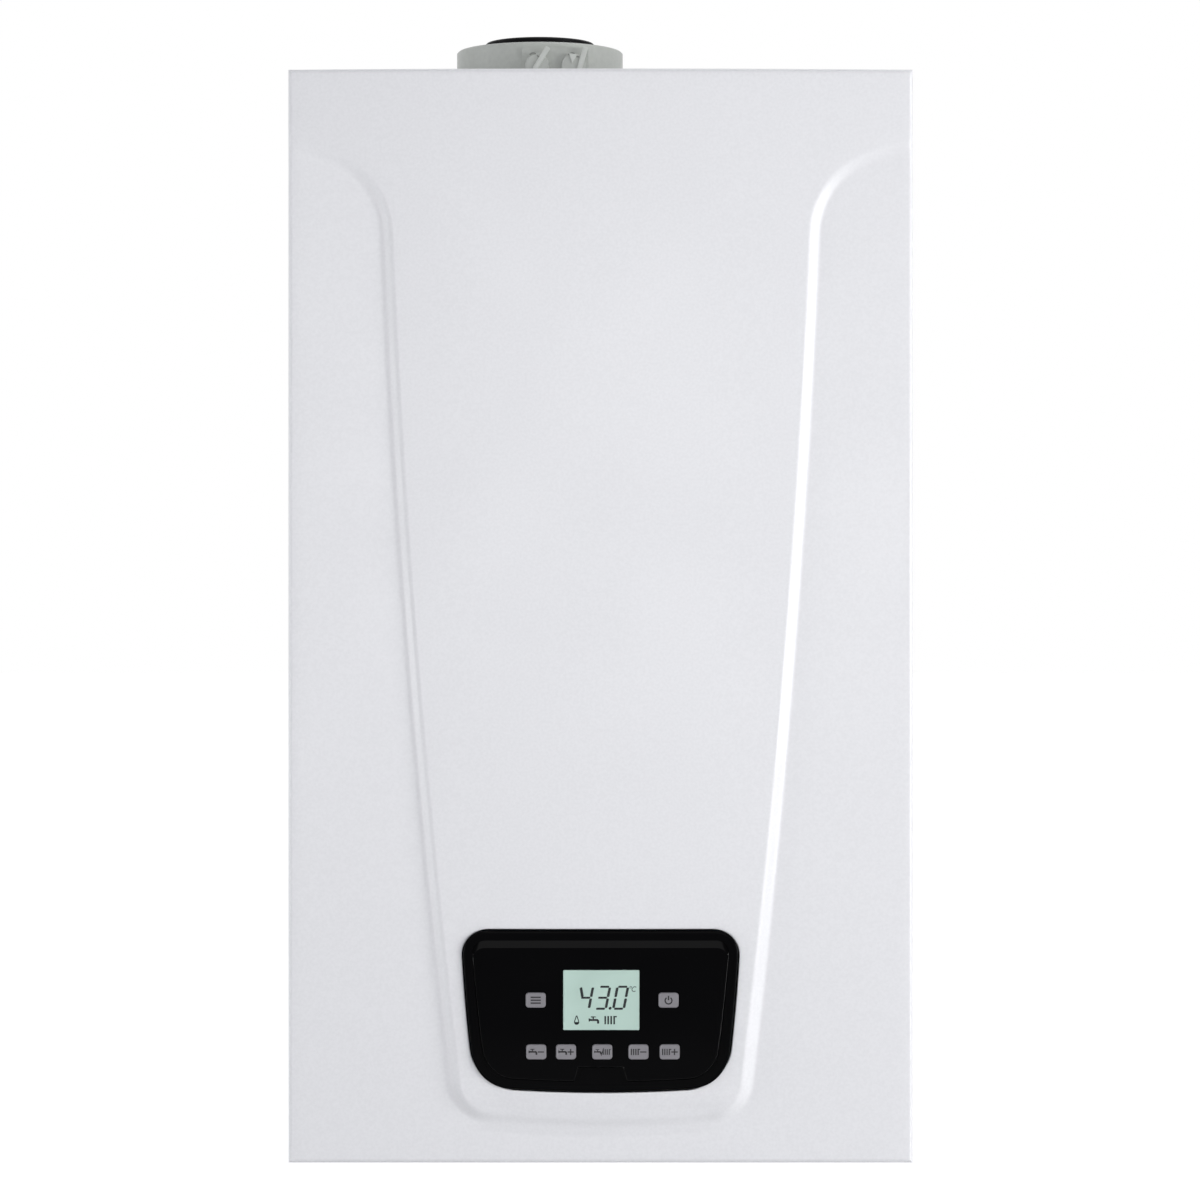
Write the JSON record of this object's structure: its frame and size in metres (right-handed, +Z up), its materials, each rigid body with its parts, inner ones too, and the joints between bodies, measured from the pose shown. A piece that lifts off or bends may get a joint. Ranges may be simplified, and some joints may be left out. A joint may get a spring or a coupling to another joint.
{
  "type": "combi boiler",
  "caption": "Wall-hung condensing combi boiler: white cover with a bowed raised panel, black control fascia with display and buttons, flue adapter on top, pipe connections below.",
  "frame": {"origin": "centre of the wall bracket's line of two slots, on the wall plane", "axes": "+X to the right seen from the front, +Y into the wall, +Z up"},
  "size_m": [0.4, 0.2998, 0.752],
  "materials": {
    "galvanised_steel": "zinc-coated sheet",
    "white_enamel": "white powder coat, semi-gloss",
    "seal_foam": "closed-cell foam",
    "black_gloss": "high gloss",
    "display_glass": "clear",
    "key_grey": "satin",
    "box_plastic": "fine grain",
    "circuit_board": "solder mask",
    "gland_black": "satin",
    "flue_grey": "satin",
    "seal_rubber": "smooth",
    "exchanger_shell": "glass-filled",
    "stainless": "drawn",
    "cast_aluminium": "as cast",
    "fan_plastic": "moulded",
    "motor_black": "satin",
    "vessel_red": "gloss",
    "brass": "forged",
    "pipe_steel": "drawn tube",
    "gas_yellow": "gloss",
    "knob_red": "moulded",
    "knob_blue": "moulded",
    "gauge_case": "moulded"
  },
  "bodies": {
    "case": {"wall_bracket": "galvanised_steel", "rear_frame": "galvanised_steel", "bottom_plate": "galvanised_steel", "hinge_pins": "galvanised_steel", "door_nuts": "galvanised_steel", "left_side_panel": "white_enamel", "right_side_panel": "white_enamel", "top_plate": "white_enamel", "cover_seal": "seal_foam", "cable_gland": "gland_black", "flue_adapter": "flue_grey", "sampling_caps": "flue_grey", "adapter_seals": "seal_rubber", "condensate_hose": "seal_rubber", "heat_exchanger_body": "exchanger_shell", "heat_exchanger_coil": "stainless", "burner": "stainless", "plate_heat_exchanger": "stainless", "electrodes": "stainless", "burner_door": "cast_aluminium", "fan_housing": "cast_aluminium", "gas_valve": "cast_aluminium", "venturi": "fan_plastic", "diverter_motor": "fan_plastic", "condensate_trap": "fan_plastic", "auto_air_vent": "fan_plastic", "fan_motor": "motor_black", "pump_motor": "motor_black", "expansion_vessel": "vessel_red", "return_group": "brass", "flow_group": "brass", "pump_body": "brass", "relief_valve": "brass", "filling_tap": "brass", "connection_tails": "brass", "heating_pipes": "pipe_steel", "gas_pipe": "gas_yellow", "pressure_gauge": "gauge_case"},
    "front_cover": {"front_cover": "white_enamel", "cover_screws": "galvanised_steel"},
    "control_box": {"control_box_tray": "box_plastic", "control_box_lid": "box_plastic", "control_board": "circuit_board", "display_board": "circuit_board", "fascia_frame": "black_gloss", "fascia_plate": "black_gloss", "display_window": "display_glass"},
    "button_menu": {"button_menu": "key_grey"},
    "button_power": {"button_power": "key_grey"},
    "button_water_down": {"button_water_down": "key_grey"},
    "button_water_up": {"button_water_up": "key_grey"},
    "button_mode": {"button_mode": "key_grey"},
    "button_heating_down": {"button_heating_down": "key_grey"},
    "button_heating_up": {"button_heating_up": "key_grey"},
    "fan_impeller": {"fan_impeller": "fan_plastic"},
    "pump_impeller": {"pump_impeller": "fan_plastic"},
    "diverter_spindle": {"diverter_spindle": "brass"},
    "relief_knob": {"relief_knob": "knob_red"},
    "filling_knob": {"filling_knob": "knob_blue"},
    "gauge_needle": {"gauge_needle": "gauge_case"}
  },
  "joints": [
    {"name": "cover_pull", "type": "slide", "parent": "case", "child": "front_cover", "axis": [0, -1, 0], "range_m": [0, 0.4]},
    {"name": "control_box_tilt", "type": "hinge", "parent": "case", "child": "control_box", "pos_m": [0, -0.258, -0.598], "axis": [1, 0, 0], "range_deg": [0, 75]},
    {"name": "button_menu_press", "type": "slide", "parent": "control_box", "child": "button_menu", "axis": [0, 1, 0], "range_m": [0, 0.001], "stiffness_N_per_m": 600},
    {"name": "button_power_press", "type": "slide", "parent": "control_box", "child": "button_power", "axis": [0, 1, 0], "range_m": [0, 0.001], "stiffness_N_per_m": 600},
    {"name": "button_water_down_press", "type": "slide", "parent": "control_box", "child": "button_water_down", "axis": [0, 1, 0], "range_m": [0, 0.001], "stiffness_N_per_m": 600},
    {"name": "button_water_up_press", "type": "slide", "parent": "control_box", "child": "button_water_up", "axis": [0, 1, 0], "range_m": [0, 0.001], "stiffness_N_per_m": 600},
    {"name": "button_mode_press", "type": "slide", "parent": "control_box", "child": "button_mode", "axis": [0, 1, 0], "range_m": [0, 0.001], "stiffness_N_per_m": 600},
    {"name": "button_heating_down_press", "type": "slide", "parent": "control_box", "child": "button_heating_down", "axis": [0, 1, 0], "range_m": [0, 0.001], "stiffness_N_per_m": 600},
    {"name": "button_heating_up_press", "type": "slide", "parent": "control_box", "child": "button_heating_up", "axis": [0, 1, 0], "range_m": [0, 0.001], "stiffness_N_per_m": 600},
    {"name": "fan_spin", "type": "hinge", "parent": "case", "child": "fan_impeller", "pos_m": [-0.08, -0.22, -0.31], "axis": [0, -1, 0], "continuous": true},
    {"name": "pump_spin", "type": "hinge", "parent": "case", "child": "pump_impeller", "pos_m": [0.118, -0.104, -0.475], "axis": [0, -1, 0], "continuous": true},
    {"name": "diverter_shift", "type": "slide", "parent": "case", "child": "diverter_spindle", "axis": [0, 1, 0], "range_m": [0, 0.006]},
    {"name": "relief_turn", "type": "hinge", "parent": "case", "child": "relief_knob", "pos_m": [0.08, -0.155, -0.545], "axis": [0, -1, 0], "range_deg": [0, 60], "stiffness_Nm_per_rad": 0.05},
    {"name": "filling_turn", "type": "hinge", "parent": "case", "child": "filling_knob", "pos_m": [0.0975, -0.1, -0.638], "axis": [0, 0, -1], "range_deg": [0, 270]},
    {"name": "gauge_needle_swing", "type": "hinge", "parent": "case", "child": "gauge_needle", "pos_m": [-0.0975, -0.165, -0.635], "axis": [0, 0, 1], "range_deg": [0, 240], "stiffness_Nm_per_rad": 0.0002}
  ],
  "couplings": [
    {"joint": "control_box_tilt", "follows": "cover_pull", "rad_per_m": 3.2722}
  ]
}
